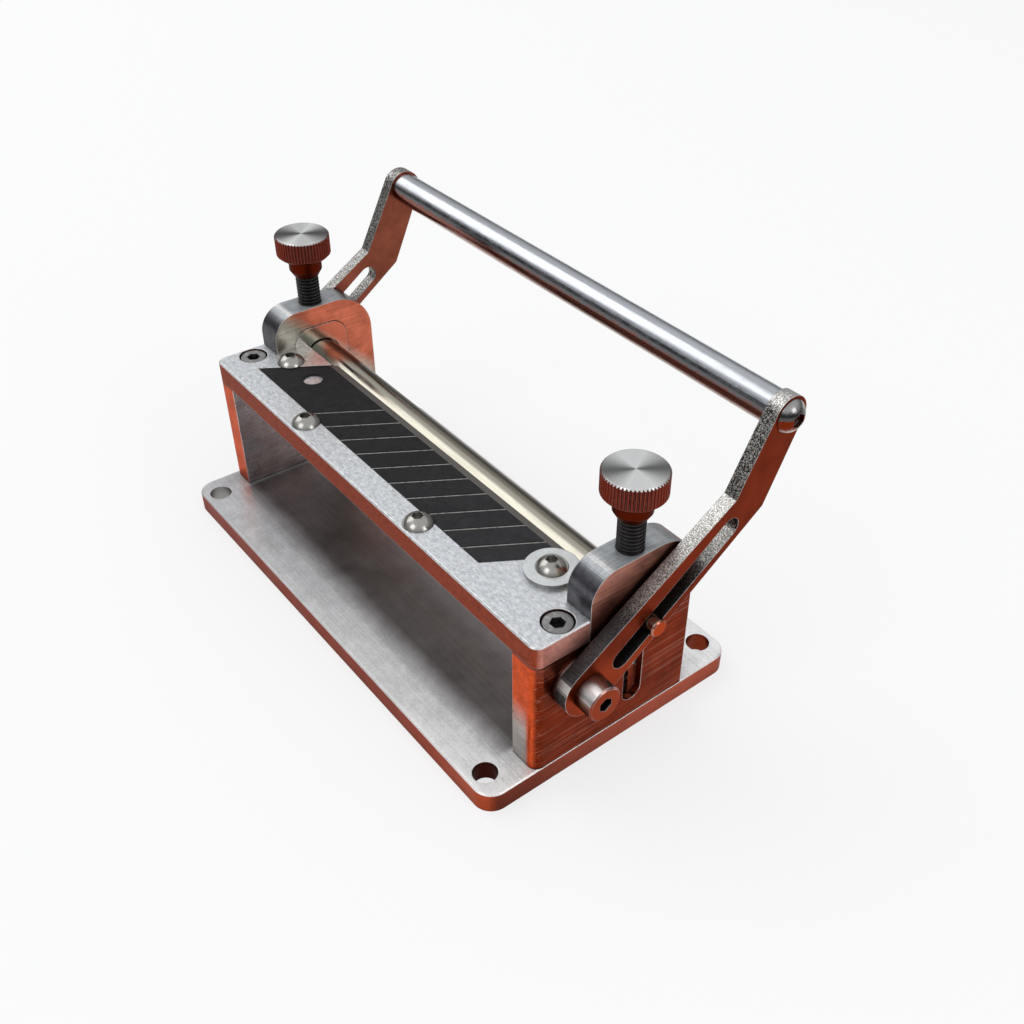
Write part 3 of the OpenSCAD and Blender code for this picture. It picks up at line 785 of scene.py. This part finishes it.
def dress_plates():
    """Materials of the base, end plates, table, blade, washers, blocks and lever arms."""
    dress(brushed_steel("base_plate_steel", ALONG_X, base_tones, contrast=0.20, reach=0.012,
                        wear_and_glint=0.6, metallic=base_shine, specular_tint=GREY_TINT), "base_plate")
    dress(brushed_steel("end_plate_steel", ALONG_Y, end_plate_tones, rough=0.30, contrast=0.45,
                        wear_and_glint=0.75, reach=0.004, joints=PLATE_JOINTS, metallic=end_plate_shine,
                        specular_tint=GREY_TINT), "side_plate_left", "side_plate_right")
    dress(ground_table(), "table_plate")
    dress(black_blade(), "blade")
    dress(brushed_steel("washer_steel", (900, 900, 900), washer_tones, rough=0.40, contrast=0.15),
          "blade_clamp_washer", "pivot_washers")
    dress(brushed_steel("block_steel", UPRIGHT, block_tones, rough=0.22, contrast=0.15,
                        relief=0.10, wear_and_glint=0.4), "bearing_block_left", "bearing_block_right")
    dress(blasted_lever(), "lever_left", "lever_right")


def dress_round_parts():
    """Materials of the roller, bushes, springs, handle, screws and thumb screws."""
    dress(polished("roller_steel", ROLLER_STEEL, 0.20, relief=0.0, end=ROLLER_END,
                   rear=ROLLER_REAR, left=ROLLER_LEFT, specular_tint=GREY_TINT), "roller")
    dress(polished("bush_bronze", BRONZE, 0.35), "roller_bush_left", "roller_bush_right")
    dress(polished("spring_steel", SPRING_WIRE, 0.35), "return_spring_left",
          "return_spring_right")
    dress(polished("handle_steel", HANDLE_STEEL, 0.21, (200, 500, 500), under=WARM_UNDER),
          "handle_rod")
    dress(polished("screw_steel", CLAMP_SCREW, 0.22, (400, 400, 400), reach=0.0012),
          "blade_clamp_screws")
    dress(polished("handle_screw_steel", HANDLE_SCREW, 0.20, reach=0.002, under=WARM_OUTER),
          "handle_screws")
    dress(brushed_steel("pivot_steel", (60, 1200, 1200), pivot_tones, rough=0.28, contrast=0.08,
                        wear_and_glint=0.25, relief=0.0, specular_tint=GREY_TINT), "pivot_screws")
    dress(oxide("cap_screw_dark", DARK_STEEL, 0.4), "table_screws", "base_screws")
    dress(oxide("stud_black", OXIDE_BLACK, 0.30), "thumb_stud_left", "thumb_stud_right")
    for side in SIDES:
        low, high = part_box(f"thumb_knob_{side}")
        centre = (Vector(low) + Vector(high)) / 2
        dress(turned_knob(f"knob_{side}_steel", centre), f"thumb_knob_{side}")


def flatten_springs():
    """A copy of each return spring, held by the frame, shown in place of the spring."""
    for side in SIDES:
        name = f"return_spring_{side}"
        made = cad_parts[name].copy()
        made.data = made.data.copy()
        made.name = f"spring_{side}_coils"
        bpy.context.collection.objects.link(made)
        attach(made, "frame")
        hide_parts(name)
        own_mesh(made)


def floor():
    """Plain pale floor that the object stands on, white where it is seen directly or mirrored."""
    bpy.ops.mesh.primitive_plane_add(size=12, location=(0, 0, 0))
    plane = bpy.context.object
    plane.name = "floor"
    made = bpy.data.materials.new("floor_pale")
    made.use_nodes = True
    tree = made.node_tree
    body = tree.nodes["Principled BSDF"]
    body.inputs["Base Color"].default_value = (*FLOOR, 1)
    body.inputs["Roughness"].default_value = 0.8
    body.inputs["Specular IOR Level"].default_value = 0.0
    glow = add(tree, "ShaderNodeEmission", {"Color": (1, 1, 1, 1), "Strength": 1.0})
    ray = add(tree, "ShaderNodeLightPath").outputs
    seen = maths(tree, "MAXIMUM", ray["Is Camera Ray"], ray["Is Glossy Ray"])
    seen = maths(tree, "MAXIMUM", seen, ray["Is Transmission Ray"])
    both = add(tree, "ShaderNodeMixShader", {0: times(tree, seen, FLOOR_GLOW),
                                             1: body.outputs[0], 2: glow.outputs[0]})
    tree.links.new(both.outputs[0], tree.nodes["Material Output"].inputs["Surface"])
    plane.data.materials.append(made)


def softbox(name, at, size, power):
    """Square soft white lamp that looks at the middle of the object."""
    lamp = bpy.data.lights.new(name, "AREA")
    lamp.shape = "SQUARE"
    lamp.size = size
    lamp.energy = power
    held = bpy.data.objects.new(name, lamp)
    held.location = at
    held.rotation_euler = (Vector((0, 0, 0.04)) - Vector(at)).to_track_quat("-Z", "Y").to_euler()
    bpy.context.collection.objects.link(held)


def light():
    """Pale world, dimmer near the horizon, with three soft lamps."""
    world = bpy.data.worlds.new("studio")
    bpy.context.scene.world = world
    world.use_nodes = True
    tree = world.node_tree
    way = add(tree, "ShaderNodeTexCoord").outputs["Generated"]
    sky = mix(tree, span(tree, apart(tree, way)["Z"], 0.15, 0.65), SKY_LOW, SKY_HIGH)
    tree.links.new(sky, tree.nodes["Background"].inputs["Color"])
    tree.nodes["Background"].inputs["Strength"].default_value = 1.0
    softbox("key_soft", (-1.69, -0.49, 1.69), 1.6, 11)
    softbox("fill_soft", (0.2, -1.8, 1.8), 1.2, 9)
    softbox("side_soft", (1.90, 0.50, 1.2), 0.8, 5)


def camera():
    """Camera at the photograph's place."""
    made = bpy.data.cameras.new("photo_camera")
    made.sensor_width = SENSOR_MM
    made.lens = FOCAL_PX / PICTURE_PX * SENSOR_MM
    made.shift_x = (PICTURE_PX / 2 - CENTRE_PX) / PICTURE_PX
    made.clip_start = 0.01
    held = bpy.data.objects.new("photo_camera", made)
    held.location = CAMERA_AT
    held.rotation_euler = [math.radians(a) for a in CAMERA_TURN]
    bpy.context.collection.objects.link(held)
    bpy.context.scene.camera = held


dress_plates()
dress_round_parts()
flatten_springs()
floor()
light()
camera()
bpy.context.scene.view_settings.view_transform = "Standard"
bpy.context.view_layer.update()
